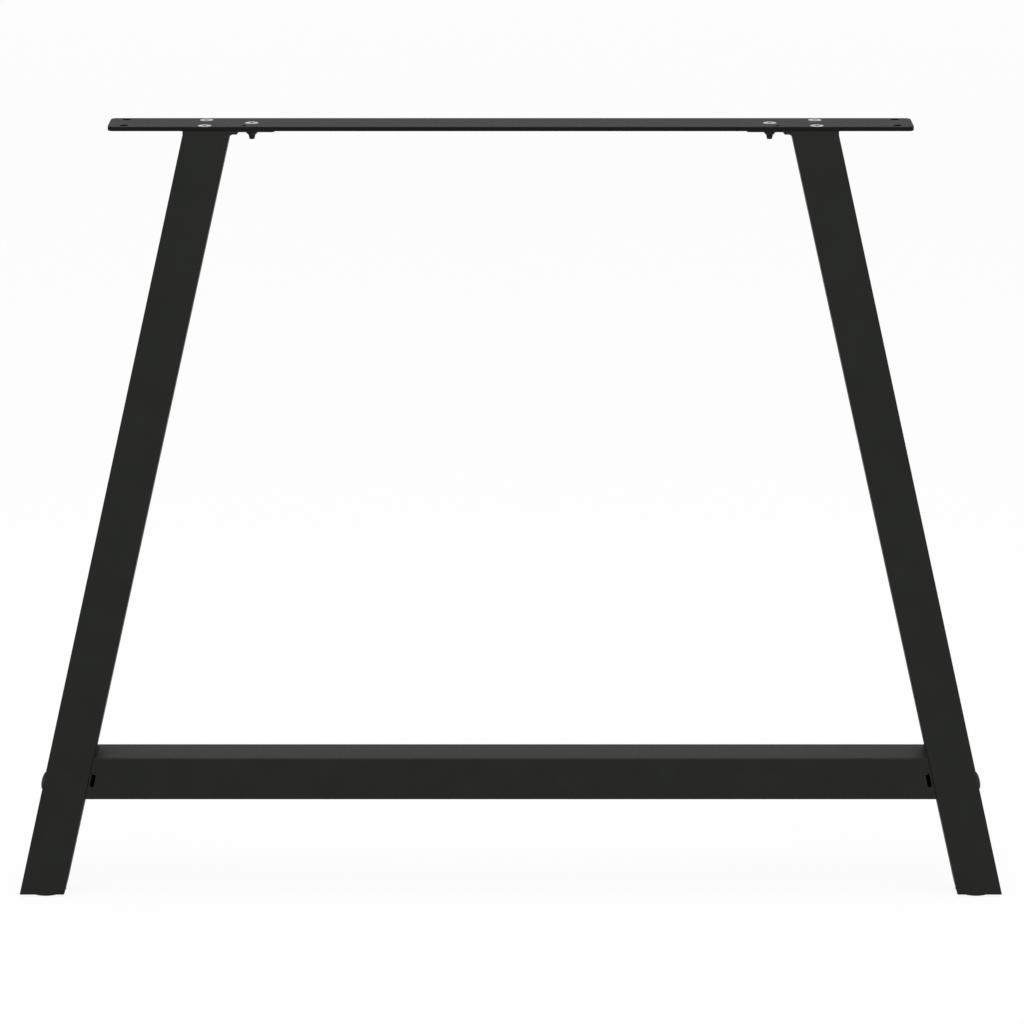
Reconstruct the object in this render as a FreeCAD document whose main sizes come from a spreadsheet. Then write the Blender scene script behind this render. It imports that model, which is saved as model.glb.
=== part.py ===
import FreeCAD, Part
import Sketcher
import os

# A black steel A-frame table leg: two slanted square tubes, a mitred crossbar
# near the floor and a flat plate on top that the table top is screwed to.
# Origin at floor level, midway between the feet. X runs along the plate,
# Y from front to back and Z up. Every left piece is drawn, the right one mirrors it.

# Driving sizes, in millimetres and degrees.
sizes = {
    "overall_height": 720.0,
    "foot_spread": 904.6,  # over the outer corners of the two tube ends
    "leg_slant": 13.14,  # each leg from the vertical
    "tube_size": 40.0,
    "tube_wall": 1.5,
    "tube_round": 1.5,  # outer corner radius
    "bar_wall": 1.5,
    "bar_round": 1.5,
    "bar_centre_height": 115.5,
    "plate_overhang": 65.56,  # beyond the head plates, at each end
    "plate_thickness": 4.0,
    "plate_corner": 5.0,
    "plate_edge": 0.4,
    "fixing_hole": 7.2,  # holes for the screws into the table top
    "fixing_inset": 14.3,  # from the plate's end
    "fixing_pitch": 27.0,
    "pilot_hole": 4.0,  # small hole near the front edge
    "pilot_step": 34.4,  # inboard of the leg screws
    "pilot_offset": 15.0,  # forward of the plate's middle
    "head_plate_thickness": 3.0,
    "shoulder_length": 47.4,  # full-depth part of the head plate
    "taper_length": 1.0,  # from the full depth to the tongue, almost square
    "tongue_width": 18.0,
    "tongue_reach": 79.7,  # from the head plate's outer end to its tip
    "tongue_tip_flat": 12.0,
    "leg_screw_offset": 1.5,  # outboard of the tube's middle
    "collar_wall_gap": 0.1,  # from the leg screws' collars to the tube's inside
    "tongue_screw_step": 40.4,  # inboard of the leg screws
    "screw_thread": 6.0,
    "screw_length": 14.2,
    "screw_head": 12.0,
    "screw_rim": 0.3,
    "screw_sink": 0.3,  # the heads lie this far below the plate's top
    "screw_point": 0.8,  # how much the point narrows, on the radius
    "screw_taper": 3.2,  # length of the tapered lead-in that starts in the collar
    "socket_flats": 4.0,
    "socket_depth": 2.4,
    "screw_clearance": 0.6,
    "fit_gap": 0.05,  # between a thread and its bore, on the radius
    "collar_root": 10.8,  # diameter where a tapped collar leaves the head plate
    "collar_waist": 10.0,
    "collar_mouth": 6.9,
    "collar_barrel": 1.9,
    "collar_nose": 1.8,
    "bolt_thread": 6.0,
    "bolt_tip": 13.0,  # tip of the joint bolt beyond the leg's inner face
    "bolt_head": 15.0,
    "bolt_head_height": 3.4,
    "bolt_crown": 8.0,  # flat on the head's top
    "neck_square": 6.0,
    "neck_gap": 0.1,
    "neck_relief": 0.3,
    "nut_flats": 10.0,
    "nut_thickness": 5.0,
    "nut_chamfer": 0.6,
    "end_plate_thickness": 1.5,
    "end_plate_gap": 0.15,
    "end_plate_corner": 1.0,
    "slot_width": 3.8,
    "slot_length": 15.0,
    "slot_setback": 1.6,  # from the leg to the slot's near edge
    "cap_centre_height": 107.0,
    "cap_diameter": 17.0,
    "cap_height": 2.7,
    "cap_shoulder": 1.6,  # height of the ring where the steep bevel meets the shallow one
    "cap_shoulder_inset": 1.7,
    "cap_crown": 4.0,  # flat on the cap's top
    "cap_hole": 14.0,
    "cap_stem_gap": 0.1,
    "cap_stem_wall": 1.3,
    "cap_stem_length": 5.5,
    "cap_snap": 0.5,
    "glide_diameter": 35.0,
    "glide_thickness": 2.5,
    "glide_edge": 0.8,
    "glide_shift": 3.0,  # inboard of the tube's middle, so that the stud stands clear
    "stud_diameter": 8.0,
    "stud_length": 22.0,
    "stud_chamfer": 1.0,
    "plug_height": 27.0,
    "plug_floor": 3.0,
    "plug_wall": 2.0,
    "plug_gap": 0.5,
    "boss_diameter": 14.0,
    "rib_count": 3.0,
    "rib_height": 2.0,
    "rib_pitch": 7.5,
    "rib_start": 4.0,
}

# Places and sizes that follow from the driving ones.
worked_out = {
    "tube_span": "Sizes.tube_size / cos(Sizes.leg_slant)",
    "tube_inside": "Sizes.tube_size - 2 * Sizes.tube_wall",
    "tube_inner_round": "max(Sizes.tube_round - Sizes.tube_wall; 0.2)",
    "bar_size": "Sizes.tube_size",  # the same stock as the legs, so the faces lie flush
    "bar_inside": "Places.bar_size - 2 * Sizes.bar_wall",
    "bar_inner_round": "max(Sizes.bar_round - Sizes.bar_wall; 0.2)",
    "leg_top": "Sizes.overall_height - Sizes.plate_thickness - Sizes.head_plate_thickness",
    "leg_run": "(Places.leg_top - Sizes.glide_thickness) / cos(Sizes.leg_slant)",
    "leg_foot_x": "-Sizes.foot_spread / 2 + Places.tube_span / 2",
    "leg_lean": "(Places.leg_top - Sizes.glide_thickness) * tan(Sizes.leg_slant)",
    "head_plate_end": "-Sizes.foot_spread / 2 + Places.leg_lean",
    "plate_length": "2 * (Sizes.plate_overhang - Places.head_plate_end)",
    "plate_width": "Sizes.tube_size",
    "leg_screw_x": "Places.leg_foot_x + Places.leg_lean - Sizes.leg_screw_offset",
    "leg_screw_y": "(Places.tube_inside - Sizes.collar_root) / 2 - Sizes.collar_wall_gap",
    "tongue_screw_x": "Places.leg_screw_x + Sizes.tongue_screw_step",
    "pilot_x": "Places.leg_screw_x + Sizes.pilot_step",
    "fixing_x": "Places.plate_length / 2 - Sizes.fixing_inset",
    "bar_rise": "Sizes.bar_centre_height - Sizes.glide_thickness",
    "joint_x": "-Sizes.foot_spread / 2 + Places.tube_span + Places.bar_rise * tan(Sizes.leg_slant)",
    "bolt_station": "(Places.bar_rise + Sizes.tube_size / 2 * sin(Sizes.leg_slant))"
    " / cos(Sizes.leg_slant)",
    "cap_rise": "Sizes.cap_centre_height - Sizes.glide_thickness",
    "cap_x": "-Sizes.foot_spread / 2 + Places.cap_rise * tan(Sizes.leg_slant)",
    "cap_station": "(Places.cap_rise - Sizes.tube_size / 2 * sin(Sizes.leg_slant))"
    " / cos(Sizes.leg_slant)",
    "glide_x": "Places.leg_foot_x + Sizes.glide_shift",
    "neck_hole": "Sizes.neck_square + 2 * Sizes.neck_gap",
    "end_plate_width": "Places.bar_inside - 2 * Sizes.end_plate_gap",
    "end_plate_height": "(Places.end_plate_width - Sizes.end_plate_thickness"
    " * sin(Sizes.leg_slant)) / cos(Sizes.leg_slant)",
    "end_plate_shift": "Sizes.end_plate_thickness / 2 * tan(Sizes.leg_slant)",
    "countersink": "Sizes.screw_head + 2 * (Sizes.screw_sink + Sizes.screw_rim + Sizes.fit_gap)",
    "plug_outside": "Places.tube_inside - 2 * Sizes.plug_gap",
    "plug_inside": "Places.plug_outside - 2 * Sizes.plug_wall",
    "plug_top": "Sizes.glide_thickness + Sizes.plug_height",
}

doc = FreeCAD.newDocument("TableLeg")
vector = FreeCAD.Vector
parts = {}


def fill_sheet(name, cells, lead):
    """One sheet row per value: its name, then its number or formula under that alias."""
    sheet = doc.addObject("Spreadsheet::Sheet", name)
    for row, (alias, content) in enumerate(cells.items(), start=1):
        sheet.set(f"A{row}", alias)
        sheet.set(f"B{row}", f"{lead}{content}")
        sheet.setAlias(f"B{row}", alias)
    return sheet


fill_sheet("Sizes", sizes, "")
places = fill_sheet("Places", worked_out, "=")
doc.recompute()


def value(expression):
    """The number that an expression of the sheets gives now."""
    return float(places.evalExpression(expression))


def bind(thing, **expressions):
    """Ties properties to the sheets. A double underscore in a name stands for a dot."""
    for name, expression in expressions.items():
        thing.setExpression(name.replace("__", "."), expression)
    return thing


def new_body(name, x="0", y="0", z="0", tilt=None):
    """A body whose origin and tilt about Y follow the sheets."""
    body = doc.addObject("PartDesign::Body", name)
    if tilt:
        body.Placement = FreeCAD.Placement(vector(), FreeCAD.Rotation(vector(0, 1, 0), value(tilt)))
        bind(body, Placement__Rotation__Angle=tilt)
    return bind(body, Placement__Base__x=x, Placement__Base__y=y, Placement__Base__z=z)


def new_sketch(body, role, lift=None):
    """A sketch on one of the body's own origin planes, moved along its normal by lift."""
    plane = next(f for f in body.Origin.OriginFeatures if f.Role == role)
    sketch = body.newObject("Sketcher::SketchObject", f"{body.Name}_sketch")
    sketch.AttachmentSupport = (plane, [""])
    sketch.MapMode = "FlatFace"
    if lift:
        bind(sketch, AttachmentOffset__Base__z=lift)
    return sketch


def pin(sketch, geometry, point, x=None, y=None):
    """Holds a point of the sketch at the coordinates that two expressions give."""
    for kind, axis, expression in (("DistanceX", -2, x), ("DistanceY", -1, y)):
        if expression is None:
            continue
        if expression == "0":
            sketch.addConstraint(Sketcher.Constraint("PointOnObject", geometry, point, axis))
            continue
        row = sketch.addConstraint(Sketcher.Constraint(kind, geometry, point, value(expression)))
        sketch.setExpression(f"Constraints[{row}]", expression)


def arc_centre(start, end, axis, place):
    """Centre of the arc from start to end, when one of its coordinates is known."""
    other = 1 - axis
    square = end[0] ** 2 + end[1] ** 2 - start[0] ** 2 - start[1] ** 2
    centre = [0.0, 0.0]
    centre[axis] = place
    centre[other] = (square - 2 * place * (end[axis] - start[axis])) / (2 * (end[other] - start[other]))
    return vector(centre[0], centre[1], 0)


def outline(sketch, corners, arcs=None):
    """A closed outline through corners, anticlockwise. An arc follows the corner that arcs names,
    with the x or y of its centre."""
    arcs = arcs or {}
    first = sketch.GeometryCount
    points = [(value(x), value(y)) for x, y in corners]
    for i, start in enumerate(points):
        end = points[(i + 1) % len(points)]
        a, b = vector(*start, 0), vector(*end, 0)
        if i not in arcs:
            sketch.addGeometry(Part.LineSegment(a, b), False)
            continue
        axis, expression = arcs[i]
        centre = arc_centre(start, end, "xy".index(axis), value(expression))
        circle = Part.Circle(centre, vector(0, 0, 1), (a - centre).Length)
        sketch.addGeometry(Part.ArcOfCircle(circle, circle.parameter(a), circle.parameter(b)), False)
    count = len(points)
    for i in range(count):
        sketch.addConstraint(Sketcher.Constraint("Coincident", first + i, 2, first + (i + 1) % count, 1))
    for i, (x, y) in enumerate(corners):
        pin(sketch, first + i, 1, x, y)
    for i, (axis, expression) in arcs.items():
        pin(sketch, first + i, 3, **{axis: expression})


def rectangle(sketch, width, height, x="0", y="0", corner=None, bevelled=False):
    """A rectangle about the point x, y. Its corners are rounded where corner is given, or
    bevelled by as much."""
    left, right = f"{x} - ({width}) / 2", f"{x} + ({width}) / 2"
    low, high = f"{y} - ({height}) / 2", f"{y} + ({height}) / 2"
    if not corner:
        outline(sketch, [(left, low), (right, low), (right, high), (left, high)])
        return
    in_left, in_right = f"{left} + {corner}", f"{right} - {corner}"
    in_low, in_high = f"{low} + {corner}", f"{high} - {corner}"
    corners = [(in_left, low), (in_right, low), (right, in_low), (right, in_high)]
    corners += [(in_right, high), (in_left, high), (left, in_high), (left, in_low)]
    turns = {1: ("x", in_right), 3: ("x", in_right), 5: ("x", in_left), 7: ("x", in_left)}
    outline(sketch, corners, None if bevelled else turns)


def circle(sketch, diameter, x="0", y="0"):
    middle = vector(value(x), value(y), 0)
    index = sketch.addGeometry(Part.Circle(middle, vector(0, 0, 1), value(diameter) / 2), False)
    pin(sketch, index, 3, x, y)
    row = sketch.addConstraint(Sketcher.Constraint("Radius", index, value(diameter) / 2))
    sketch.setExpression(f"Constraints[{row}]", f"({diameter}) / 2")


def hexagon(sketch, flats):
    """A hexagon about the origin, flats apart."""
    radius = f"({flats}) / sqrt(3)"
    turns = [60 * i + 30 for i in range(6)]
    outline(sketch, [(f"{radius} * cos({turn})", f"{radius} * sin({turn})") for turn in turns])


def feature(kind, body, sketch, **expressions):
    made = body.newObject(f"PartDesign::{kind}", f"{body.Name}_{kind}")
    made.Profile = sketch
    bind(made, **expressions)
    return made


def pad(body, sketch, up, down=None, both=False, under=False):
    """Extrudes the sketch up its normal, down it too, evenly both ways, or only under it."""
    made = feature("Pad", body, sketch, Length=up)
    if down:
        made.SideType = "Two sides"
        bind(made, Length2=down)
    if both:
        made.SideType = "Symmetric"
    made.Reversed = under
    doc.recompute()
    return made


def pocket(body, sketch, depth=None, above=False):
    """Cuts the sketch's shape below its plane, or above it, by depth or right through."""
    made = feature("Pocket", body, sketch)
    made.Reversed = above
    if depth:
        bind(made, Length=depth)
    else:
        made.Type = "ThroughAll"
    doc.recompute()
    return made


def turned(body, sketch, kind="Revolution"):
    """Turns the sketch about the vertical axis of its plane."""
    made = feature(kind, body, sketch)
    made.ReferenceAxis = (sketch, ["V_Axis"])
    made.Angle = 360
    doc.recompute()
    return made


def rounded(body, base, names, radius):
    """Rounds the named edges of the body's last feature."""
    made = body.newObject("PartDesign::Fillet", f"{body.Name}_round")
    made.Base = (base, names)
    bind(made, Radius=radius)
    doc.recompute()
    return made


def box(name, length, width, height, x, y, z):
    made = doc.addObject("Part::Box", name)
    bind(made, Length=length, Width=width, Height=height)
    return bind(made, Placement__Base__x=x, Placement__Base__y=y, Placement__Base__z=z)


def upright(kind, name, x, y, z, **expressions):
    """A vertical cylinder or cone with its foot at x, y, z."""
    made = doc.addObject(f"Part::{kind}", name)
    bind(made, **expressions)
    return bind(made, Placement__Base__x=x, Placement__Base__y=y, Placement__Base__z=z)


def joined(name, pieces):
    made = doc.addObject("Part::MultiFuse", name)
    made.Shapes = pieces
    made.Refine = True
    return made


def shared(name, base, tool):
    made = doc.addObject("Part::Common", name)
    made.Base, made.Tool = base, tool
    return made


def cut(name, base, tool):
    made = doc.addObject("Part::Cut", name)
    made.Base, made.Tool = base, tool
    return made


def keep(label, thing):
    """Names a finished piece."""
    thing.Label = label
    parts[label] = thing
    return thing


def square_tube(name, plane, size, wall, up, height="0", **setting):
    """A square tube: two rounded squares on one sketch, extruded. setting places the body."""
    body = new_body(name, **setting)
    sketch = new_sketch(body, plane)
    rectangle(sketch, size, size, y=height, corner=wall["outer_round"])
    rectangle(sketch, wall["inside"], wall["inside"], y=height, corner=wall["inner_round"])
    pad(body, sketch, **up)
    return body


leg_frame = {"x": "Places.leg_foot_x", "z": "Sizes.glide_thickness", "tilt": "Sizes.leg_slant"}
joint_frame = {"x": "Places.joint_x", "z": "Sizes.bar_centre_height", "tilt": "Sizes.leg_slant + 90"}
cap_frame = {"x": "Places.cap_x", "z": "Sizes.cap_centre_height", "tilt": "Sizes.leg_slant - 90"}


def top_plate():
    """Flat steel bar with rounded corners. Its top face is the body's plane."""
    body = new_body("plate", z="Sizes.overall_height")
    sketch = new_sketch(body, "XY_Plane")
    rectangle(sketch, "Places.plate_length", "Places.plate_width", corner="Sizes.plate_corner")
    blank = pad(body, sketch, "Sizes.plate_thickness", under=True)
    rims = [f"Edge{i}" for i, edge in enumerate(blank.Shape.Edges, start=1) if is_level(edge)]
    edge = body.newObject("PartDesign::Chamfer", "plate_edges")
    edge.Base = (blank, rims)
    bind(edge, Size="Sizes.plate_edge")
    doc.recompute()
    holes = new_sketch(body, "XY_Plane")
    for side in ("-", ""):
        for row in ("-", ""):
            circle(holes, "Sizes.fixing_hole", f"{side}Places.fixing_x", f"{row}Sizes.fixing_pitch / 2")
        circle(holes, "Sizes.pilot_hole", f"{side}Places.pilot_x", "-Sizes.pilot_offset")
    pocket(body, holes)
    seats = new_sketch(body, "XY_Plane")
    for side in ("-", ""):
        for x, y in screw_spots:
            circle(seats, "Sizes.screw_thread", f"{side}({x})", y)
    hole = feature("Hole", body, seats)
    doc.recompute()
    hole.DepthType = "ThroughAll"
    hole.ThreadType = "None"
    bind(hole, Diameter="Sizes.screw_thread + Sizes.screw_clearance")
    hole.HoleCutType = "Countersink"
    hole.HoleCutCountersinkAngle = 90
    bind(hole, HoleCutDiameter="Places.countersink")
    doc.recompute()
    keep("top_plate", body)


def is_level(edge):
    """True for an edge that lies in one horizontal plane."""
    return edge.BoundBox.ZLength < 0.001


screw_spots = [
    ("Places.leg_screw_x", "-Places.leg_screw_y"),
    ("Places.leg_screw_x", "Places.leg_screw_y"),
    ("Places.tongue_screw_x", "0"),
]
screw_names = ["leg_screw_front", "leg_screw_back", "tongue_screw"]


def leg_tube():
    """Slanted tube, sawn level at both ends, with a square hole for the joint bolt
    in its inner wall and a round one for the cap in its outer wall."""
    walls = {
        "outer_round": "Sizes.tube_round",
        "inside": "Places.tube_inside",
        "inner_round": "Places.tube_inner_round",
    }
    reach = {"up": "Places.leg_run + Sizes.tube_size", "down": "Sizes.tube_size"}
    body = square_tube("leg_blank", "XY_Plane", "Sizes.tube_size", walls, reach, **leg_frame)
    neck = new_sketch(body, "YZ_Plane")
    rectangle(neck, "Places.neck_hole", "Places.neck_hole", y="Places.bolt_station")
    pocket(body, neck, "Sizes.tube_size", above=True)
    mouth = new_sketch(body, "YZ_Plane")
    circle(mouth, "Sizes.cap_hole", "0", "Places.cap_station")
    pocket(body, mouth, "Sizes.tube_size")
    band = level_band("leg_band", "Sizes.glide_thickness", "Places.leg_top")
    keep("left_leg_tube", shared("leg_sawn", body, band))


def level_band(name, low, high):
    """Everything round the left leg between two heights."""
    width = "Places.leg_lean + 4 * Sizes.tube_size"
    start = "-Sizes.foot_spread / 2 - Sizes.tube_size"
    depth = "2 * Sizes.tube_size"
    return box(name, width, depth, f"({high}) - ({low})", start, "-Sizes.tube_size", low)


def head_plate():
    """Plate welded on the leg's top, with a tongue towards the middle and three tapped collars
    drawn down out of it for the screws."""
    body = new_body("head_blank", x="Places.head_plate_end", z="Places.leg_top")
    half, narrow = "Places.plate_width / 2", "Sizes.tongue_width / 2"
    taper = "Sizes.shoulder_length + Sizes.taper_length"
    shape = [("0", f"-{half}"), ("Sizes.shoulder_length", f"-{half}"), (taper, f"-{narrow}")]
    shape += [("Sizes.tongue_reach", f"-{narrow}"), ("Sizes.tongue_reach", narrow)]
    shape += [(taper, narrow), ("Sizes.shoulder_length", half), ("0", half)]
    sketch = new_sketch(body, "XY_Plane")
    outline(sketch, shape)
    blank = pad(body, sketch, "Sizes.head_plate_thickness")
    reach = value("Sizes.tongue_reach")
    tips = [
        f"Edge{i}"
        for i, edge in enumerate(blank.Shape.Edges, start=1)
        if edge.BoundBox.XMin > reach - 0.01 and edge.BoundBox.YLength < 0.01
    ]
    rounded(body, blank, tips, "(Sizes.tongue_width - Sizes.tongue_tip_flat) / 2")
    solids, bores = [body], []
    waist = "Places.leg_top - Sizes.collar_barrel"
    depth = "Sizes.collar_barrel + Sizes.collar_nose"
    tip = f"{waist} - Sizes.collar_nose"
    barrel = {"Radius1": "Sizes.collar_waist / 2", "Radius2": "Sizes.collar_root / 2"}
    barrel["Height"] = "Sizes.collar_barrel"
    nose = {"Radius1": "Sizes.collar_mouth / 2", "Radius2": "Sizes.collar_waist / 2"}
    nose["Height"] = "Sizes.collar_nose"
    bore = {"Radius": "Sizes.screw_thread / 2 + Sizes.fit_gap"}
    bore["Height"] = f"{depth} + Sizes.head_plate_thickness"
    for name, (x, y) in zip(screw_names, screw_spots):
        solids.append(upright("Cone", f"{name}_barrel", x, y, waist, **barrel))
        solids.append(upright("Cone", f"{name}_nose", x, y, tip, **nose))
        bores.append(upright("Cylinder", f"{name}_bore", x, y, tip, **bore))
    raised, drilled = joined("head_raised", solids), joined("head_bores", bores)
    keep("left_head_plate", cut("head_tapped", raised, drilled))


def countersunk_screw(name, x, y):
    """Countersunk screw with a hexagon socket. Its head's top is the body's plane."""
    body = new_body(name, x=x, y=y, z="Sizes.overall_height - Sizes.screw_sink")
    radius, head = "Sizes.screw_thread / 2", "Sizes.screw_head / 2"
    point = f"{radius} - Sizes.screw_point"
    throat = f"-Sizes.screw_rim - ({head} - {radius})"
    sketch = new_sketch(body, "XZ_Plane")
    profile = [("0", "-Sizes.screw_length"), (point, "-Sizes.screw_length")]
    profile += [(radius, "-Sizes.screw_length + Sizes.screw_taper"), (radius, throat)]
    profile += [(head, "-Sizes.screw_rim"), (head, "0"), ("0", "0")]
    outline(sketch, profile)
    turned(body, sketch)
    socket = new_sketch(body, "XY_Plane")
    hexagon(socket, "Sizes.socket_flats")
    pocket(body, socket, "Sizes.socket_depth")
    keep(f"left_{name}", body)


def crossbar():
    """Square tube mitred to the slant of both legs, with a spanner slot through its front and
    back walls beside each end."""
    walls = {
        "outer_round": "Sizes.bar_round",
        "inside": "Places.bar_inside",
        "inner_round": "Places.bar_inner_round",
    }
    reach = {"up": "Sizes.foot_spread", "both": True}
    centre = "Sizes.bar_centre_height"
    body = square_tube("bar_blank", "YZ_Plane", "Places.bar_size", walls, reach, height=centre)
    space = new_body("leg_space")
    sketch = new_sketch(space, "XZ_Plane")
    low, high = f"{centre} - Places.bar_size", f"{centre} + Places.bar_size"
    near = "(Places.joint_x + Places.bar_size * tan(Sizes.leg_slant))"
    far = "(Places.joint_x - Places.bar_size * tan(Sizes.leg_slant))"
    outline(sketch, [(far, low), (f"-{far}", low), (f"-{near}", high), (near, high)])
    pad(space, sketch, "2 * Places.bar_size", both=True)
    cutter = new_body("slot_cutter", **joint_frame)
    sketch = new_sketch(cutter, "XZ_Plane")
    half = "(Sizes.slot_length - Sizes.slot_width) / 2"
    near_edge, far_edge = "Sizes.slot_setback", "Sizes.slot_setback + Sizes.slot_width"
    ends = [(f"-{half}", near_edge), (half, near_edge), (half, far_edge), (f"-{half}", far_edge)]
    outline(sketch, ends, {1: ("x", half), 3: ("x", f"-{half}")})
    pad(cutter, sketch, "2 * Places.bar_size", both=True)
    slots = joined("slot_cutters", [cutter, mirrored("slot_cutter_right", cutter)])
    keep("crossbar", cut("bar_slotted", shared("bar_mitred", body, space), slots))


def mirrored(name, source):
    """The same thing on the right-hand side."""
    made = doc.addObject("Part::Mirroring", name)
    made.Source = source
    made.Normal = vector(1, 0, 0)
    return made


def bar_end_plate():
    """Blank welded into the mitred end of the crossbar, with a square hole for the bolt."""
    body = new_body("end_plate", **joint_frame)
    sketch = new_sketch(body, "XY_Plane")
    size = {"x": "-Places.end_plate_shift", "corner": "Sizes.end_plate_corner"}
    rectangle(sketch, "Places.end_plate_height", "Places.end_plate_width", **size)
    rectangle(sketch, "Places.neck_hole", "Places.neck_hole")
    pad(body, sketch, "Sizes.end_plate_thickness")
    keep("left_bar_end_plate", body)


def joint_bolt():
    """Low-headed bolt inside the leg. Its square neck sits in the square holes."""
    body = new_body("bolt", **joint_frame)
    sketch = new_sketch(body, "XZ_Plane")
    radius, seat = "Sizes.bolt_thread / 2", "-Sizes.tube_wall"
    crown = f"{seat} - Sizes.bolt_head_height"
    profile = [("0", crown), ("Sizes.bolt_crown / 2", crown), ("Sizes.bolt_head / 2", seat)]
    profile += [(radius, seat), (radius, "Sizes.bolt_tip - Sizes.screw_point")]
    profile += [(f"{radius} - Sizes.screw_point", "Sizes.bolt_tip"), ("0", "Sizes.bolt_tip")]
    outline(sketch, profile)
    turned(body, sketch)
    neck = new_sketch(body, "XY_Plane")
    rectangle(neck, "Sizes.neck_square", "Sizes.neck_square")
    pad(body, neck, "Sizes.end_plate_thickness - Sizes.neck_relief", down="Sizes.tube_wall")
    keep("left_joint_bolt", body)


def joint_nut():
    """Hexagon nut on the crossbar's end plate, chamfered on both faces."""
    body = new_body("nut", **joint_frame)
    face = "Sizes.end_plate_thickness"
    top = f"{face} + Sizes.nut_thickness"
    sketch = new_sketch(body, "XY_Plane", lift=face)
    hexagon(sketch, "Sizes.nut_flats")
    circle(sketch, "Sizes.bolt_thread + 2 * Sizes.fit_gap")
    pad(body, sketch, "Sizes.nut_thickness")
    bevel = new_sketch(body, "XZ_Plane")
    flat, rim = "Sizes.nut_flats / 2", "Sizes.nut_flats / 2 + 2 * Sizes.nut_chamfer"
    outline(bevel, [(flat, top), (rim, f"{top} - Sizes.nut_chamfer"), (rim, top)])
    outline(bevel, [(flat, face), (rim, face), (rim, f"{face} + Sizes.nut_chamfer")])
    turned(body, bevel, kind="Groove")
    keep("left_joint_nut", body)


def hole_cap():
    """Low-crowned plastic cap that snaps into the hole in the leg's outer wall."""
    body = new_body("cap", **cap_frame)
    stem = "(Sizes.cap_hole / 2 - Sizes.cap_stem_gap)"
    bore = f"({stem} - Sizes.cap_stem_wall)"
    end, catch = "-Sizes.cap_stem_length", "-Sizes.tube_wall - Sizes.fit_gap"
    lip = f"{catch} - Sizes.cap_snap"
    profile = [("0", "0"), (bore, "0"), (bore, end), (f"{stem} - Sizes.cap_snap", end)]
    profile += [(f"{stem} + Sizes.cap_snap", lip), (stem, catch), (stem, "0")]
    profile += [("Sizes.cap_diameter / 2", "0")]
    profile += [("Sizes.cap_diameter / 2 - Sizes.cap_shoulder_inset", "Sizes.cap_shoulder")]
    profile += [("Sizes.cap_crown / 2", "Sizes.cap_height"), ("0", "Sizes.cap_height")]
    sketch = new_sketch(body, "XZ_Plane")
    outline(sketch, profile)
    turned(body, sketch)
    keep("left_hole_cap", body)


def leg_prism(name, width):
    """Solid square bar along the leg's own axis, for what fills the tube's foot."""
    body = new_body(name, **leg_frame)
    sketch = new_sketch(body, "XY_Plane")
    rectangle(sketch, width, width, corner="Places.tube_inner_round", bevelled=True)
    pad(body, sketch, "2 * Sizes.plug_height", down="Sizes.tube_size")
    return body


def foot_plug():
    """Moulded plug in the tube's lower end: an open box with gripping ribs outside and a boss
    inside for the glide's stud."""
    foot = "Sizes.glide_thickness"
    core = leg_prism("plug_bar", "Places.plug_outside")
    solids = [shared("plug_body", core, level_band("plug_band", foot, "Places.plug_top"))]
    for i in range(round(value("Sizes.rib_count"))):
        low = f"{foot} + Sizes.rib_start + {i} * Sizes.rib_pitch"
        band = level_band(f"rib_band{i}", low, f"{low} + Sizes.rib_height")
        solids.append(shared(f"rib{i}", leg_prism(f"rib_bar{i}", "Places.tube_inside"), band))
    floor = f"{foot} + Sizes.plug_floor"
    room = leg_prism("hollow_bar", "Places.plug_inside")
    hollow = shared("plug_hollow", room, level_band("hollow_band", floor, "Places.plug_top"))
    shell = cut("plug_shell", joined("plug_ribbed", solids), hollow)
    spot = {"x": "Places.glide_x", "y": "0", "z": foot, "Height": "Sizes.plug_height"}
    boss = upright("Cylinder", "plug_boss", Radius="Sizes.boss_diameter / 2", **spot)
    stud_room = "Sizes.stud_diameter / 2 + Sizes.fit_gap"
    bore = upright("Cylinder", "plug_bore", Radius=stud_room, **spot)
    keep("left_foot_plug", cut("plug_bored", joined("plug_bossed", [shell, boss]), bore))


def glide_pad():
    """Round glide that the leg stands on, with a stud pressed up into the plug."""
    body = new_body("glide", x="Places.glide_x")
    rim, stud = "Sizes.glide_diameter / 2", "Sizes.stud_diameter / 2"
    inset = f"{rim} - Sizes.glide_edge"
    top = "Sizes.glide_thickness + Sizes.stud_length"
    profile = [("0", "0"), (inset, "0"), (rim, "Sizes.glide_edge"), (rim, "Sizes.glide_thickness")]
    profile += [(stud, "Sizes.glide_thickness"), (stud, f"{top} - Sizes.stud_chamfer")]
    profile += [(f"{stud} - Sizes.stud_chamfer", top), ("0", top)]
    sketch = new_sketch(body, "XZ_Plane")
    outline(sketch, profile)
    turned(body, sketch)
    keep("left_glide_pad", body)


top_plate()
leg_tube()
head_plate()
for screw_name, (screw_x, screw_y) in zip(screw_names, screw_spots):
    countersunk_screw(screw_name, screw_x, screw_y)
crossbar()
bar_end_plate()
joint_bolt()
joint_nut()
hole_cap()
foot_plug()
glide_pad()

for left_name in [name for name in parts if name.startswith("left_")]:
    right_name = left_name.replace("left_", "right_")
    keep(right_name, mirrored(right_name, parts[left_name]))
doc.recompute()

for thing in doc.Objects:
    if "Invalid" in thing.State or "Error" in thing.State:
        raise RuntimeError(f"{thing.Label} could not be built: {thing.State}")
for label, part in parts.items():
    if part.Shape.isNull() or not part.Shape.isValid() or len(part.Shape.Solids) != 1:
        raise RuntimeError(f"{label} is not one sound solid")

os.makedirs("parts", exist_ok=True)
for label, part in parts.items():
    part.Shape.exportStep(f"parts/{label}.step")
    print(f"{label}: {part.Shape.Volume:.0f} mm3")
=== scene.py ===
import bpy
import bmesh
import math
from mathutils import Matrix, Vector


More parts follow.
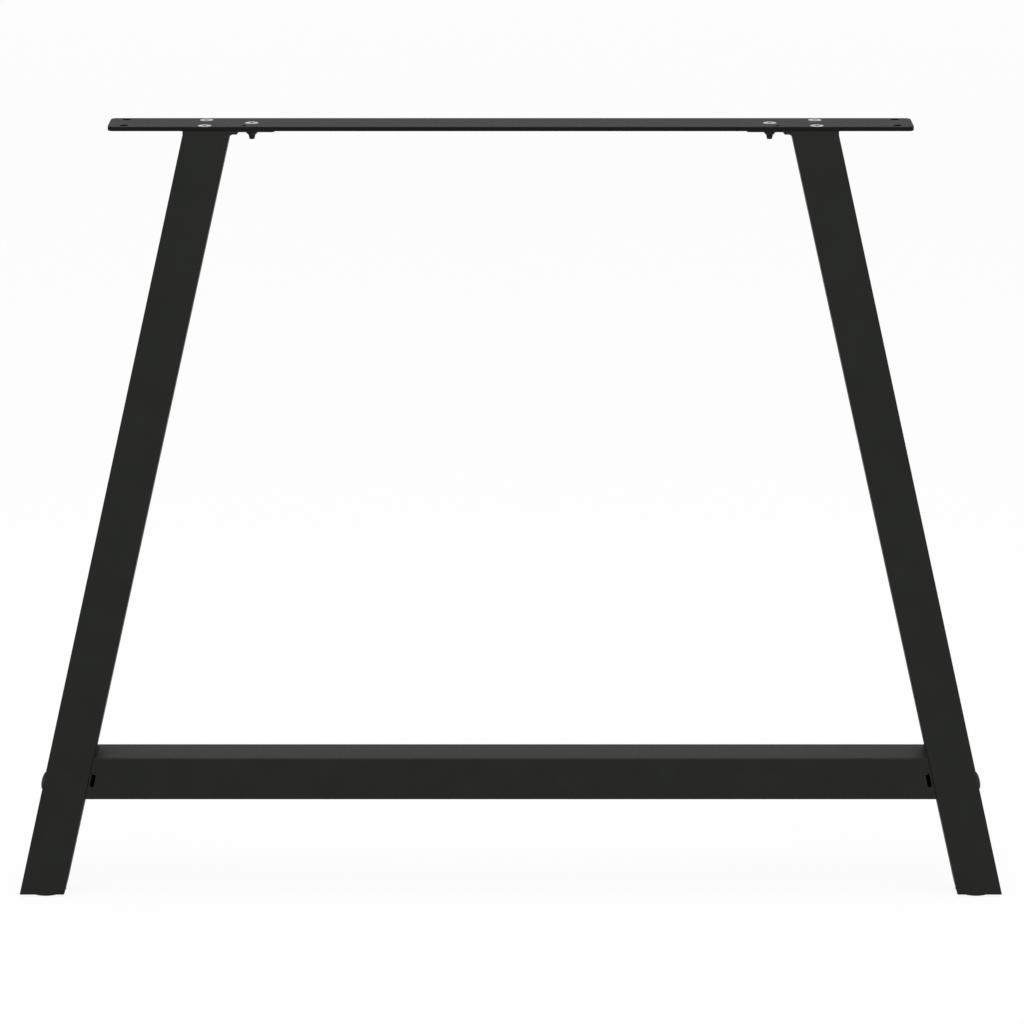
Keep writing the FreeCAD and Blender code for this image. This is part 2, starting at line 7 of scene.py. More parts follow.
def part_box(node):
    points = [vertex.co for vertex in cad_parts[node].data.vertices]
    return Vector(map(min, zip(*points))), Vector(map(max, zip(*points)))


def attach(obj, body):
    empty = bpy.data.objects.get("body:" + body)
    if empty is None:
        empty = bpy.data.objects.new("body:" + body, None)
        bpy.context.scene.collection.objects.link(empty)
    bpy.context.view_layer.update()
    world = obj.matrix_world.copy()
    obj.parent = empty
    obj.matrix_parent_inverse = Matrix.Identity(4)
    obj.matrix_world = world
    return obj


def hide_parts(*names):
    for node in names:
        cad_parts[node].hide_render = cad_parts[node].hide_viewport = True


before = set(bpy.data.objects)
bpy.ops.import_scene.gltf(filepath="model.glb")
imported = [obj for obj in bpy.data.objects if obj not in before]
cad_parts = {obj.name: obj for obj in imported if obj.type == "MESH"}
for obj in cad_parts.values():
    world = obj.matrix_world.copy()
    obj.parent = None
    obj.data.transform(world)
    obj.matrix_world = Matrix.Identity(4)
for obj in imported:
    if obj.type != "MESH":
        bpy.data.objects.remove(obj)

# Looks for a black powder-coated A-frame table leg. Sizes below are in millimetres
# unless a name says otherwise, and mm turns them into Blender's metres.
mm = 0.001
legSlant = math.radians(13.14)  # how far each leg leans from upright
mergeDistance = 0.002  # points closer than this become one
noiseSpan = {"From Min": 0.3, "From Max": 0.7}  # nearly all of a noise texture lies between
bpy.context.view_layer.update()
scene = bpy.context.scene
print("frame loaded:", len(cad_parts), "CAD nodes")


def linearColour(hexValue):  # sRGB hex to linear, by the standard sRGB curve
    channels = []
    for start in (1, 3, 5):
        level = int(hexValue[start:start + 2], 16) / 255
        channels.append(level / 12.92 if level <= 0.04045 else ((level + 0.055) / 1.055) ** 2.4)
    return (*channels, 1.0)


def addNode(tree, kind, inputs=None, **settings):
    node = tree.nodes.new(kind)
    for name, setting in settings.items():
        setattr(node, name, setting)
    for name, source in (inputs or {}).items():
        if isinstance(source, tuple) and isinstance(source[0], bpy.types.Node):
            tree.links.new(source[0].outputs[source[1]], node.inputs[name])
        else:
            node.inputs[name].default_value = source
    return node


def newMaterial(name, swatch):
    material = bpy.data.materials.new(name)
    material.use_nodes = True
    material.node_tree.nodes.clear()
    material.diffuse_color = linearColour(swatch)
    return material, material.node_tree


def perMm(size):  # texture scale that makes one cell of the pattern this many millimetres
    return 1 / (size * mm)


# Powder-coated mild steel: a polyester powder sprayed on and baked. It flows into a
# matt, slightly dimpled skin, so light spreads softly and edges never sparkle.
powderCoat = {
    "thinColour": "#181a17",
    "thickColour": "#1c1e1b",
    "thinLevel": 0.36,  # noise level where the coat is thinnest
    "thickLevel": 0.64,
    "cloudSize": 26.0,  # slow drift of the coat's thickness
    "cloudDetail": 3.0,
    "cloudBreakup": 0.55,
    "peelSize": 1.6,  # real orange peel is about 1 mm, drawn a little coarser so it shows
    "peelDetail": 1.0,
    "peelBreakup": 0.4,
    "peelDepth": 0.02,
    "peelStrength": 0.35,
    "grainSize": 0.9,  # fine speckle of the matt powder, also drawn coarser than real
    "grainDetail": 2.0,
    "grainBreakup": 0.6,
    "grainShare": 0.45,  # the rest of the colour's drift comes from the clouds
    "roughnessLow": 0.5,
    "roughnessHigh": 0.62,
    "specular": 0.135,  # matt powder reflects less than a clear lacquer
    "ior": 1.5,
}


# The flat top bar is coated on its own, a shade blacker than the tubes, with painted shade on
# its upright side faces. What it doesn't name here it shares with them.
plateCoat = {
    "thinColour": "#111211",
    "thickColour": "#161715",
    "roughnessLow": 0.5,
    "roughnessHigh": 0.62,
    "specular": 0.105,
    "paintedSideShadeColour": "#070807",  # painted shade: the upright side faces are coloured blacker than the flat ones
    "sideShadeLevel": 0.3,  # upward share of the normal below which a face takes the full painted side shade
    "flatFaceLevel": 0.7,
}


def powderCoatedSteel(name, coat):
    material, tree = newMaterial(name, coat["thickColour"])
    place = addNode(tree, "ShaderNodeTexCoord")
    clouds = addNode(tree, "ShaderNodeTexNoise", {
        "Vector": (place, "Object"), "Scale": perMm(coat["cloudSize"]),
        "Detail": coat["cloudDetail"], "Roughness": coat["cloudBreakup"],
    })
    grain = addNode(tree, "ShaderNodeTexNoise", {
        "Vector": (place, "Object"), "Scale": perMm(coat["grainSize"]),
        "Detail": coat["grainDetail"], "Roughness": coat["grainBreakup"],
    })
    blotch = addNode(tree, "ShaderNodeMix", {
        "Factor": coat["grainShare"], "A": (clouds, "Fac"), "B": (grain, "Fac"),
    })
    shade = addNode(tree, "ShaderNodeValToRGB", {"Fac": (blotch, "Result")})
    shade.color_ramp.elements[0].position = coat["thinLevel"]
    shade.color_ramp.elements[0].color = linearColour(coat["thinColour"])
    shade.color_ramp.elements[1].position = coat["thickLevel"]
    shade.color_ramp.elements[1].color = linearColour(coat["thickColour"])
    sheen = addNode(tree, "ShaderNodeMapRange", {
        "Value": (grain, "Fac"), **noiseSpan,
        "To Min": coat["roughnessLow"], "To Max": coat["roughnessHigh"],
    })
    peel = addNode(tree, "ShaderNodeTexNoise", {
        "Vector": (place, "Object"), "Scale": perMm(coat["peelSize"]),
        "Detail": coat["peelDetail"], "Roughness": coat["peelBreakup"],
    })
    dimples = addNode(tree, "ShaderNodeBump", {
        "Height": (peel, "Fac"), "Strength": coat["peelStrength"],
        "Distance": coat["peelDepth"] * mm,
    })
    skin = addNode(tree, "ShaderNodeBsdfPrincipled", {
        "Base Color": (shade, "Color"), "Roughness": (sheen, "Result"),
        "Normal": (dimples, "Normal"), "IOR": coat["ior"], "Specular IOR Level": coat["specular"],
    })
    # Painted shade: faces that stand upright, found from the true normal, take the blacker side
    # colour.
    if "paintedSideShadeColour" in coat:
        surface = addNode(tree, "ShaderNodeNewGeometry")
        facing = addNode(tree, "ShaderNodeSeparateXYZ", {"Vector": (surface, "True Normal")})
        level = addNode(tree, "ShaderNodeMath", {0: (facing, "Z")}, operation="ABSOLUTE")
        outsideSideShade = addNode(tree, "ShaderNodeMapRange", {
            "Value": (level, "Value"), "From Min": coat["sideShadeLevel"],
            "From Max": coat["flatFaceLevel"],
        })
        paintedSideShade = addNode(tree, "ShaderNodeMixRGB", {
            "Fac": (outsideSideShade, "Result"), "Color1": linearColour(coat["paintedSideShadeColour"]),
            "Color2": (shade, "Color"),
        })
        tree.links.new(paintedSideShade.outputs["Color"], skin.inputs["Base Color"])
    addNode(tree, "ShaderNodeOutputMaterial", {"Surface": (skin, "BSDF")})
    return material


# Zinc-plated, clear-passivated steel: bright grey-white metal with a faint blue and
# straw bloom, and fine tumbling marks that blur what it mirrors.
zincPlate = {
    "coolColour": "#a9acaf",
    "warmColour": "#b3b2ae",
    "coolLevel": 0.38,  # noise level where the bloom is all blue
    "warmLevel": 0.66,
    "bloomSize": 3.0,
    "bloomDetail": 2.0,
    "tumbleSize": 0.25,  # tumbling marks, drawn coarser than real
    "tumbleDetail": 2.0,
    "roughnessLow": 0.2,
    "roughnessHigh": 0.36,
    "markDepth": 0.006,
    "markStrength": 0.4,
}


# Painted shade: the broached socket is coloured a darker grey for the shade in the recess, and it
# is rougher, so it looks duller.
shadedSocketPlate = {
    "coolColour": "#48494a",
    "warmColour": "#525150",
    "roughnessLow": 0.4,
    "roughnessHigh": 0.55,
}


def zincPlatedSteel(name, plating):
    material, tree = newMaterial(name, plating["coolColour"])
    place = addNode(tree, "ShaderNodeTexCoord")
    bloom = addNode(tree, "ShaderNodeTexNoise", {
        "Vector": (place, "Object"), "Scale": perMm(plating["bloomSize"]),
        "Detail": plating["bloomDetail"],
    })
    tint = addNode(tree, "ShaderNodeValToRGB", {"Fac": (bloom, "Fac")})
    tint.color_ramp.elements[0].position = plating["coolLevel"]
    tint.color_ramp.elements[0].color = linearColour(plating["coolColour"])
    tint.color_ramp.elements[1].position = plating["warmLevel"]
    tint.color_ramp.elements[1].color = linearColour(plating["warmColour"])
    marks = addNode(tree, "ShaderNodeTexNoise", {
        "Vector": (place, "Object"), "Scale": perMm(plating["tumbleSize"]),
        "Detail": plating["tumbleDetail"],
    })
    blur = addNode(tree, "ShaderNodeMapRange", {
        "Value": (marks, "Fac"), **noiseSpan,
        "To Min": plating["roughnessLow"], "To Max": plating["roughnessHigh"],
    })
    dents = addNode(tree, "ShaderNodeBump", {
        "Height": (marks, "Fac"), "Strength": plating["markStrength"],
        "Distance": plating["markDepth"] * mm,
    })
    metal = addNode(tree, "ShaderNodeBsdfPrincipled", {
        "Base Color": (tint, "Color"), "Roughness": (blur, "Result"), "Normal": (dents, "Normal"),
        "Metallic": 1.0,
    })
    addNode(tree, "ShaderNodeOutputMaterial", {"Surface": (metal, "BSDF")})
    return material


# Injection-moulded black polyethylene: dense black with the mould's spark-eroded
# grain, so it looks dry and stays as dark as the coat round it.
blackPlastic = {
    "deepColour": "#0e0f0f",
    "dustColour": "#161717",
    "deepLevel": 0.35,  # noise level where the colour is deepest
    "dustLevel": 0.7,
    "flowSize": 9.0,
    "flowDetail": 2.0,
    "grainSize": 0.45,  # spark-eroded grain, about its real size
    "grainRim": 0.8,  # cell distance at a grain's rim
    "grainDepth": 0.02,
    "grainStrength": 0.5,
    "roughnessLow": 0.46,
    "roughnessHigh": 0.62,
    "specular": 0.14,
    "ior": 1.51,
}


def mouldedPolyethylene(name, plastic):
    material, tree = newMaterial(name, plastic["deepColour"])
    place = addNode(tree, "ShaderNodeTexCoord")
    flow = addNode(tree, "ShaderNodeTexNoise", {
        "Vector": (place, "Object"), "Scale": perMm(plastic["flowSize"]),
        "Detail": plastic["flowDetail"],
    })
    shade = addNode(tree, "ShaderNodeValToRGB", {"Fac": (flow, "Fac")})
    shade.color_ramp.elements[0].position = plastic["deepLevel"]
    shade.color_ramp.elements[0].color = linearColour(plastic["deepColour"])
    shade.color_ramp.elements[1].position = plastic["dustLevel"]
    shade.color_ramp.elements[1].color = linearColour(plastic["dustColour"])
    grain = addNode(tree, "ShaderNodeTexVoronoi", {
        "Vector": (place, "Object"), "Scale": perMm(plastic["grainSize"]),
    })
    blur = addNode(tree, "ShaderNodeMapRange", {
        "Value": (grain, "Distance"), "From Min": 0.0, "From Max": plastic["grainRim"],
        "To Min": plastic["roughnessHigh"], "To Max": plastic["roughnessLow"],
    })
    pits = addNode(tree, "ShaderNodeBump", {
        "Height": (grain, "Distance"), "Strength": plastic["grainStrength"],
        "Distance": plastic["grainDepth"] * mm,
    })
    skin = addNode(tree, "ShaderNodeBsdfPrincipled", {
        "Base Color": (shade, "Color"), "Roughness": (blur, "Result"), "Normal": (pits, "Normal"),
        "IOR": plastic["ior"], "Specular IOR Level": plastic["specular"],
    })
    addNode(tree, "ShaderNodeOutputMaterial", {"Surface": (skin, "BSDF")})
    return material


# Thread sealer resin over the last turns, coloured almost black as painted shade, so the tip
# under the tongue reads as in shadow. It shares the plastic's other values.
shadedTipSealer = {
    "deepColour": "#101112",
    "dustColour": "#191a1b",
    "flowSize": 1.5,
    "grainSize": 0.4,
    "grainDepth": 0.03,
    "roughnessLow": 0.6,
    "roughnessHigh": 0.75,
    "specular": 0.2,
    "ior": 1.5,
}

coatedSteel = powderCoatedSteel("powderCoatedSteel", powderCoat)
coatedPlate = powderCoatedSteel("powderCoatedPlate", {**powderCoat, **plateCoat})
zincSteel = zincPlatedSteel("zincPlatedSteel", zincPlate)
zincSocketShade = zincPlatedSteel("zincSocketPaintedShade", {**zincPlate, **shadedSocketPlate})
plasticBlack = mouldedPolyethylene("mouldedBlackPolyethylene", blackPlastic)
shadedTipResin = mouldedPolyethylene("threadSealerPaintedShade", {**blackPlastic, **shadedTipSealer})
print("materials made")

# What each CAD node is made of. The plain names are the middle of the frame, the
# others exist once for each side.
coatedNodes = ("leg_tube", "head_plate", "bar_end_plate")
zincNodes = ("joint_bolt", "joint_nut")
plasticNodes = ("hole_cap", "foot_plug", "glide_pad")
finishes = {"top_plate": coatedPlate, "crossbar": coatedSteel}
for side in ("left", "right"):
    for part in coatedNodes:
        finishes[f"{side}_{part}"] = coatedSteel
    for part in zincNodes:
        finishes[f"{side}_{part}"] = zincSteel
    for part in plasticNodes:
        finishes[f"{side}_{part}"] = plasticBlack
for name, finish in finishes.items():
    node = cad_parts[name]
    node.data.materials.clear()
    node.data.materials.append(finish)
print("CAD nodes dressed:", len(finishes))


def finishPiece(name, mesh, materials, sharpDegrees):
    bmesh.ops.remove_doubles(mesh, verts=mesh.verts, dist=mergeDistance * mm)
    bmesh.ops.dissolve_degenerate(mesh, edges=mesh.edges, dist=mergeDistance * mm)
    bmesh.ops.recalc_face_normals(mesh, faces=mesh.faces)
    data = bpy.data.meshes.new(name)
    mesh.to_mesh(data)
    mesh.free()
    for material in materials:
        data.materials.append(material)
    data.shade_smooth()
    data.set_sharp_from_angle(angle=math.radians(sharpDegrees))
    piece = bpy.data.objects.new(name, data)
    scene.collection.objects.link(piece)
    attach(piece, "root")
    return piece


def ringPoints(mesh, radius, height, count):
    points = []
    for step in range(count):
        angle = 2 * math.pi * step / count
        points.append(mesh.verts.new((radius * math.cos(angle), radius * math.sin(angle), height)))
    return points


def hexagonPoints(mesh, flats, height, count):
    points = []
    for step in range(count):
        angle = 2 * math.pi * step / count
        fold = (angle % (math.pi / 3)) - math.pi / 6  # angle from the middle of the nearest flat
        reach = flats / 2 / math.cos(fold)
        points.append(mesh.verts.new((reach * math.cos(angle), reach * math.sin(angle), height)))
    return points


def bridge(mesh, ringA, ringB):
    count = len(ringA)
    for step in range(count):
        following = (step + 1) % count
        mesh.faces.new((ringA[step], ringA[following], ringB[following], ringB[step]))


# Countersunk socket screws, M6 by 14. Each stands for the plain CAD screw in the
# same hole, with a rolled thread, a broached hexagon socket and a thin rim.
countersunkScrew = {
    "threadDiameter": 6.0,
    "threadPitch": 1.0,
    "threadDepth": 0.61,
    "crestShare": 0.16,  # flat crest, as a share of the pitch
    "rootShare": 0.24,
    "headDiameter": 12.0,
    "rimHeight": 0.3,
    "rimChamfer": 0.12,
    "coneHeight": 3.0,
    "neckInset": 0.6,  # the head's closed end tucks this far into the shank
    "neckDrop": 0.3,
    "length": 14.2,
    "pointDiameter": 4.4,
    "pointTaper": 3.2,  # tapered lead-in, where the crests fade out
    "socketFlats": 4.0,
    "socketDepth": 2.4,
    "socketPoint": 0.5,  # the broach leaves a shallow cone
    "socketChamfer": 0.15,
    "roundSteps": 36,
    "headOverlap": 0.02,  # how far the thread runs into the head
    "sealerShadeStart": 7.0,  # below the head's top, down to the tip: sealer fill and painted shade
    "sealerFill": 0.6,  # how far the resin fills the thread's roots
    "sharpDegrees": 32,
}


def rolledThread(mesh, screw, top, bottom):
    # The rows climb with the helix, and the heights are held between top and bottom,
    # so both ends close in a plain ring.
    steps = screw["roundSteps"]
    pitch = screw["threadPitch"]
    crest = screw["threadDiameter"] / 2
    root = crest - screw["threadDepth"]
    slope = (1 - screw["crestShare"] - screw["rootShare"]) / 2
    profile = (
        (0.0, root),
        (screw["rootShare"], root),
        (screw["rootShare"] + slope, crest),
        (screw["rootShare"] + slope + screw["crestShare"], crest),
    )
    turns = math.ceil((top - bottom) / pitch) + 2  # the first and last fold into the end rings
    pointRadius = screw["pointDiameter"] / 2
    rows = []
    for turn in range(turns):
        for share, radius in profile:
            row = []
            for step in range(steps):
                height = bottom + pitch * (turn - 1 + share + step / steps)
                held = min(max(height, bottom), top)
                fade = min(1, (held - bottom) / screw["pointTaper"])
                if held < -screw["sealerShadeStart"]:
                    radius = max(radius, crest - screw["threadDepth"] * (1 - screw["sealerFill"]))
                reach = min(radius, pointRadius + (crest - pointRadius) * fade)
                if held >= top or held <= bottom:
                    reach = min(reach, root)
                angle = 2 * math.pi * step / steps
                spot = (reach * math.cos(angle), reach * math.sin(angle), held)
                row.append(mesh.verts.new(Vector(spot) * mm))
            rows.append(row)
    perTurn = len(profile)
    for index in range(len(rows) - 1):
        for step in range(steps - 1):
            mesh.faces.new((rows[index][step], rows[index][step + 1],
                            rows[index + 1][step + 1], rows[index + 1][step]))
        if index + perTurn + 1 < len(rows):
            mesh.faces.new((rows[index][steps - 1], rows[index + perTurn][0],
                            rows[index + perTurn + 1][0], rows[index + 1][steps - 1]))


def threadedScrew(name, node, screw):
    mesh = bmesh.new()
    steps = screw["roundSteps"]
    headRadius = screw["headDiameter"] / 2
    neckRadius = screw["threadDiameter"] / 2
    neckHeight = -(screw["rimHeight"] + screw["coneHeight"])
    socketBottom = -screw["socketDepth"]
    wide = screw["socketFlats"] + 2 * screw["socketChamfer"]
    outline = [
        ringPoints(mesh, (neckRadius - screw["neckInset"]) * mm,
                   (neckHeight - screw["neckDrop"]) * mm, steps),
        ringPoints(mesh, neckRadius * mm, neckHeight * mm, steps),
        ringPoints(mesh, headRadius * mm, -screw["rimHeight"] * mm, steps),
        ringPoints(mesh, headRadius * mm, -screw["rimChamfer"] * mm, steps),
        ringPoints(mesh, (headRadius - screw["rimChamfer"]) * mm, 0, steps),
        hexagonPoints(mesh, wide * mm, 0, steps),
        hexagonPoints(mesh, screw["socketFlats"] * mm, -screw["socketChamfer"] * mm, steps),
        hexagonPoints(mesh, screw["socketFlats"] * mm, socketBottom * mm, steps),
    ]
    for lower, upper in zip(outline, outline[1:]):
        bridge(mesh, lower, upper)
    socketTip = mesh.verts.new((0, 0, (socketBottom - screw["socketPoint"]) * mm))
    for step in range(steps):
        mesh.faces.new((outline[-1][step], outline[-1][(step + 1) % steps], socketTip))
    mesh.faces.new(tuple(reversed(outline[0])))
    rolledThread(mesh, screw, neckHeight + screw["headOverlap"], -screw["length"])
    bmesh.ops.remove_doubles(mesh, verts=mesh.verts, dist=mergeDistance * mm)
    openRims = [edge for edge in mesh.edges if edge.is_boundary]
    bmesh.ops.holes_fill(mesh, edges=openRims, sides=0)  # flat tip, and the end inside the head
    low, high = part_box(node)
    middle = (low + high) / 2
    placed = Matrix.Translation((middle.x, middle.y, high.z))
    bmesh.ops.transform(mesh, matrix=placed, verts=mesh.verts)
    for face in mesh.faces:
        spot = face.calc_center_median()
        depth = (high.z - spot.z) / mm
        across = math.hypot(spot.x - middle.x, spot.y - middle.y) / mm
        if depth > screw["sealerShadeStart"]:
            face.material_index = 1  # sealed tip, coloured with painted shade
        elif across < wide / 2 and 0 < depth < screw["socketDepth"] + screw["socketPoint"]:
            face.material_index = 2  # socket, coloured with painted shade
    piece = finishPiece(name, mesh, (zincSteel, shadedTipResin, zincSocketShade),
                        screw["sharpDegrees"])
    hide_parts(node)
    return piece


for side in ("left", "right"):
    threadedScrew(f"{side}LegScrewFront", f"{side}_leg_screw_front", countersunkScrew)
    threadedScrew(f"{side}LegScrewBack", f"{side}_leg_screw_back", countersunkScrew)
    threadedScrew(f"{side}TongueScrew", f"{side}_tongue_screw", countersunkScrew)
print("threaded screws made")

# Hole caps, one in each leg's outer wall. Each stands for the plain CAD cap, with a
# smooth dome where that one has bevels.
holeCap = {
    "centreHeight": 107.0,
    "tubeFoot": 2.5,  # height at which the tube's box begins
    "capRadius": 8.5,
    "domeHeight": 2.7,
    "stemRadius": 6.9,
    "boreRadius": 5.6,
    "stemLength": 5.5,
    "catchDepth": 1.55,  # just behind the tube's wall
    "snap": 0.5,  # how far the catch stands out from the stem
    "roundSteps": 56,
    "domeSteps": 12,
    "sharpDegrees": 40,
}


def domedCap(name, side, cap):
    mesh = bmesh.new()
    steps = cap["roundSteps"]
    stem = cap["stemRadius"]
    lip = cap["catchDepth"] + cap["snap"]
    profile = [
        (cap["boreRadius"], 0.0),
        (cap["boreRadius"], -cap["stemLength"]),
        (stem - cap["snap"], -cap["stemLength"]),
        (stem + cap["snap"], -lip),
        (stem, -cap["catchDepth"]),
        (stem, 0.0),
    ]
    for step in range(cap["domeSteps"]):
        angle = math.pi / 2 * step / cap["domeSteps"]
        profile.append((cap["capRadius"] * math.cos(angle), cap["domeHeight"] * math.sin(angle)))
    rings = [ringPoints(mesh, radius * mm, height * mm, steps) for radius, height in profile]
    for lower, upper in zip(rings, rings[1:]):
        bridge(mesh, lower, upper)
    mesh.faces.new(rings[0])
    crown = mesh.verts.new((0, 0, cap["domeHeight"] * mm))
    for step in range(steps):
        mesh.faces.new((rings[-1][step], rings[-1][(step + 1) % steps], crown))
    tubeLow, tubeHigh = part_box(f"{side}_leg_tube")
    outward = -1 if side == "left" else 1
    edge = tubeLow.x if side == "left" else tubeHigh.x
    lean = (cap["centreHeight"] - cap["tubeFoot"]) * math.tan(legSlant) * mm
    middle = (edge - outward * lean, (tubeLow.y + tubeHigh.y) / 2, cap["centreHeight"] * mm)
    turned = Matrix.Rotation(outward * (math.pi / 2 - legSlant), 4, "Y")
    bmesh.ops.transform(mesh, matrix=Matrix.Translation(middle) @ turned, verts=mesh.verts)
    piece = finishPiece(name, mesh, (plasticBlack,), cap["sharpDegrees"])
    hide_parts(f"{side}_hole_cap")
    return piece


for side in ("left", "right"):
    domedCap(f"{side}DomedCap", side, holeCap)
print("hole caps made")

# Fillet weld between each leg and its head plate, on the inner side where it shows
# from below. The coat covers it, so only its ripples tell.
weldBead = {
    "legLength": 2.6,  # along the plate and down the tube
    "bulge": 0.4,
    "ripplePitch": 1.7,
    "rippleHeight": 0.2,
    "poolLag": 0.35,  # ripples curve like the edge of the weld pool
    "endTaper": 3.0,
    "endShare": 0.35,  # how big the bead is where it starts and stops
    "inset": 4.0,  # from the tube's front and back faces
    "liftAcross": 0.66,  # direction in which the bead bulges
    "liftDown": 0.75,
    "stepsAcross": 7,
    "stepsPerRipple": 5,
    "bite": 0.4,  # how far its back sinks into the steel
    "sharpDegrees": 50,
}


def filletWeld(name, side, bead):
    mesh = bmesh.new()
    tubeLow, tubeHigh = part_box(f"{side}_leg_tube")
    inward = 1 if side == "left" else -1
    cornerX = tubeHigh.x if side == "left" else tubeLow.x
    width = (tubeHigh.y - tubeLow.y) / mm - 2 * bead["inset"]
    count = int(width / bead["ripplePitch"] * bead["stepsPerRipple"])
    rows = []
    for index in range(count + 1):
        along = width * index / count
        run = min(1, along / bead["endTaper"], (width - along) / bead["endTaper"])
        grown = bead["endShare"] + (1 - bead["endShare"]) * math.sin(run * math.pi / 2)
        phase = (along / bead["ripplePitch"]) % 1
        row = []
        for step in range(bead["stepsAcross"] + 1):
            across = step / bead["stepsAcross"]
            crown = math.sin(across * math.pi)
            wave = abs(math.sin(math.pi * (phase + bead["poolLag"] * crown)))
            onPlate = bead["legLength"] * grown * (1 - across)
            onTube = bead["legLength"] * grown * across
            lift = (bead["bulge"] * crown + bead["rippleHeight"] * crown * wave) * grown
            lateral = onPlate - onTube * math.sin(legSlant) + lift * bead["liftAcross"]
            drop = onTube * math.cos(legSlant) + lift * bead["liftDown"]
            row.append(mesh.verts.new((
                cornerX + inward * lateral * mm,
                tubeLow.y + (bead["inset"] + along) * mm,
                tubeHigh.z - drop * mm,
            )))
        back = mesh.verts.new((
            cornerX - inward * bead["bite"] * mm,
            tubeLow.y + (bead["inset"] + along) * mm,
            tubeHigh.z + bead["bite"] * mm,
        ))
        row.append(back)
        rows.append(row)
    around = len(rows[0])
    for lower, upper in zip(rows, rows[1:]):
        for step in range(around):
            following = (step + 1) % around
            mesh.faces.new((lower[step], lower[following], upper[following], upper[step]))
    mesh.faces.new(rows[0])
    mesh.faces.new(tuple(reversed(rows[-1])))
    return finishPiece(name, mesh, (coatedSteel,), bead["sharpDegrees"])


for side in ("left", "right"):
    filletWeld(f"{side}LegWeld", side, weldBead)
print("weld beads made")

# Pale studio: a white floor that keeps a soft shadow, one wide softbox overhead
# and a weaker one in front.
studio = {
    "floorSize": 80.0,  # metres
    "floorColour": "#fafafa",
    "floorShadowShare": 0.08,  # how much of the real shading shows, the rest is plain white
    "shadowReach": 1.0,  # metres round the object where the floor keeps its full shadow
    "floorFade": 9.0,  # metres out, where the floor has turned into the background
    "worldAmbient": 0.42,  # sky light on the object
    "softboxSize": 3.0,
    "softboxPower": 88.0,
    "softboxPlace": (0.0, -0.7, 3.4),
    "softboxAim": (0.0, 0.0, 0.4),
    "fillSize": 3.2,
    "fillPower": 34.0,
    "fillPlace": (0.0, -4.2, 1.4),
    "fillAim": (0.0, 0.0, 0.36),
}


def seenDirectly(tree):  # one for rays that look at the background, straight or by reflection
    path = addNode(tree, "ShaderNodeLightPath")
    mirrored = addNode(tree, "ShaderNodeMath", {
        0: (path, "Is Camera Ray"), 1: (path, "Is Glossy Ray"),
    }, operation="MAXIMUM")
    return addNode(tree, "ShaderNodeMath", {
        0: (mirrored, "Value"), 1: (path, "Is Transmission Ray"),
    }, operation="MAXIMUM")


def studioFloor(setting):
    half = setting["floorSize"] / 2
    mesh = bmesh.new()
    spots = ((-half, -half), (half, -half), (half, half), (-half, half))
    mesh.faces.new([mesh.verts.new((x, y, 0)) for x, y in spots])
    data = bpy.data.meshes.new("studioFloor")
    mesh.to_mesh(data)
    mesh.free()
    material, tree = newMaterial("paintedFloor", setting["floorColour"])
    seen = seenDirectly(tree)
    place = addNode(tree, "ShaderNodeTexCoord")
    away = addNode(tree, "ShaderNodeVectorMath", {0: (place, "Object")}, operation="LENGTH")
    faded = addNode(tree, "ShaderNodeMapRange", {
        "Value": (away, "Value"), "From Min": setting["shadowReach"],
        "From Max": setting["floorFade"], "To Min": 1 - setting["floorShadowShare"], "To Max": 1.0,
    })
    share = addNode(tree, "ShaderNodeMath", {
        0: (seen, "Value"), 1: (faded, "Result"),
    }, operation="MULTIPLY")
    paint = addNode(tree, "ShaderNodeBsdfDiffuse", {"Color": linearColour(setting["floorColour"])})
    glow = addNode(tree, "ShaderNodeEmission", {"Color": (1, 1, 1, 1), "Strength": 1.0})
    mixed = addNode(tree, "ShaderNodeMixShader", {
        "Fac": (share, "Value"), 1: (paint, "BSDF"), 2: (glow, "Emission"),
    })
    addNode(tree, "ShaderNodeOutputMaterial", {"Surface": (mixed, "Shader")})
    data.materials.append(material)
    floor = bpy.data.objects.new("studioFloor", data)
    scene.collection.objects.link(floor)


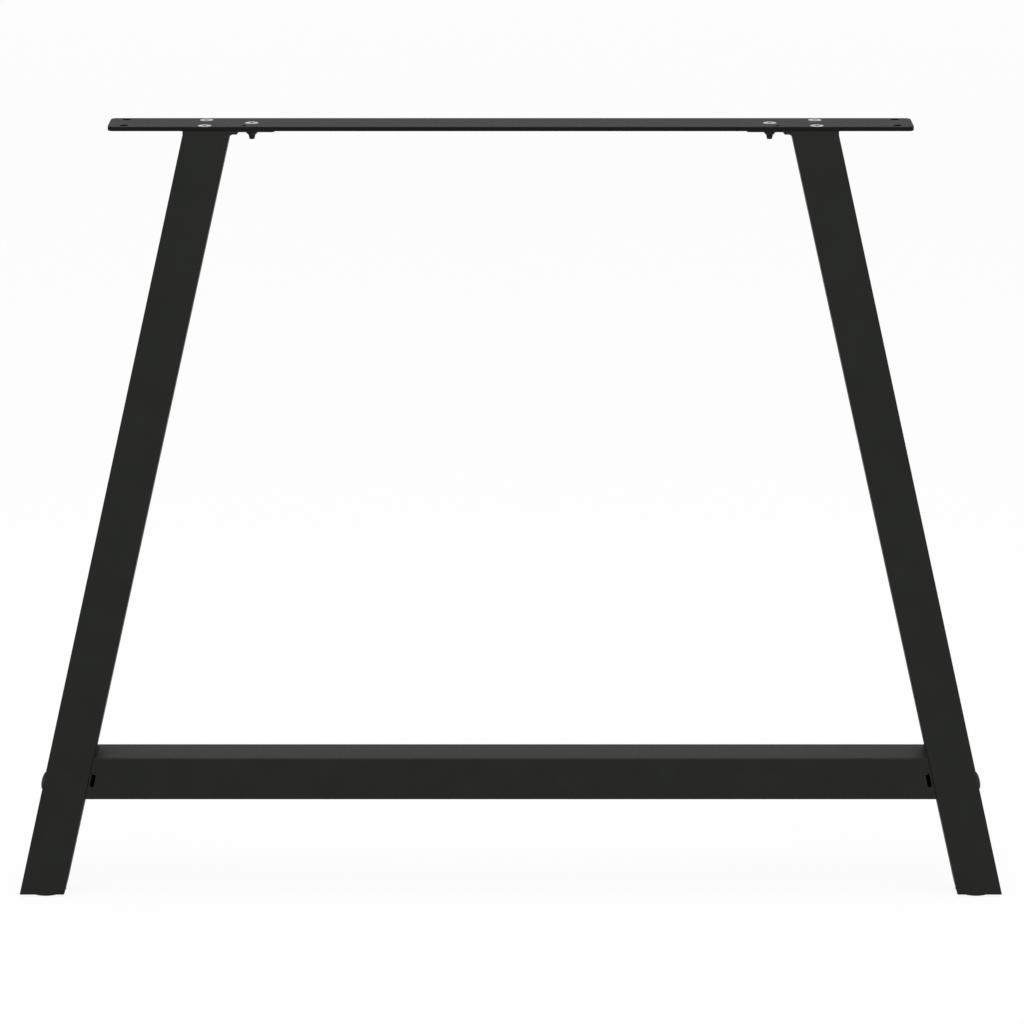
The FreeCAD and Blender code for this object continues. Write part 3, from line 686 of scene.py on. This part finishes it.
def softbox(name, size, power, place, aim):
    lamp = bpy.data.lights.new(name, "AREA")
    lamp.shape = "SQUARE"
    lamp.size = size
    lamp.energy = power
    holder = bpy.data.objects.new(name, lamp)
    holder.location = place
    holder.rotation_mode = "QUATERNION"
    holder.rotation_quaternion = (Vector(aim) - Vector(place)).to_track_quat("-Z", "Y")
    scene.collection.objects.link(holder)


studioFloor(studio)
softbox("overheadSoftbox", studio["softboxSize"], studio["softboxPower"],
        studio["softboxPlace"], studio["softboxAim"])
softbox("frontFill", studio["fillSize"], studio["fillPower"],
        studio["fillPlace"], studio["fillAim"])

world = bpy.data.worlds.new("paleStudio")
world.use_nodes = True
world.node_tree.nodes.clear()
scene.world = world
skySeen = seenDirectly(world.node_tree)
skyLevel = addNode(world.node_tree, "ShaderNodeMapRange", {
    "Value": (skySeen, "Value"), "To Min": studio["worldAmbient"], "To Max": 1.0,
})
sky = addNode(world.node_tree, "ShaderNodeBackground", {
    "Color": (1, 1, 1, 1), "Strength": (skyLevel, "Result"),
})
addNode(world.node_tree, "ShaderNodeOutputWorld", {"Surface": (sky, "Background")})
print("studio lit")

# The camera stands in front and above, far enough back that the upright lines stay
# nearly parallel, as they are in the photograph.
cameraPlace = {
    "across": 1.1,  # to the right of the middle
    "distance": 3600.0,
    "height": 1426.4,
    "pitchDegrees": 16.443,
    "lens": 146.51,
    "sensor": 36.0,
    "farClip": 200.0,  # metres, beyond the floor's far corners
}
lens = bpy.data.cameras.new("photoCamera")
lens.lens = cameraPlace["lens"]
lens.sensor_width = cameraPlace["sensor"]
lens.sensor_fit = "AUTO"
lens.clip_end = cameraPlace["farClip"]
camera = bpy.data.objects.new("photoCamera", lens)
spot = (cameraPlace["across"], -cameraPlace["distance"], cameraPlace["height"])
camera.location = Vector(spot) * mm
camera.rotation_euler = (math.radians(90 - cameraPlace["pitchDegrees"]), 0, 0)
scene.collection.objects.link(camera)
scene.camera = camera
scene.view_settings.view_transform = "Standard"
print("camera placed")
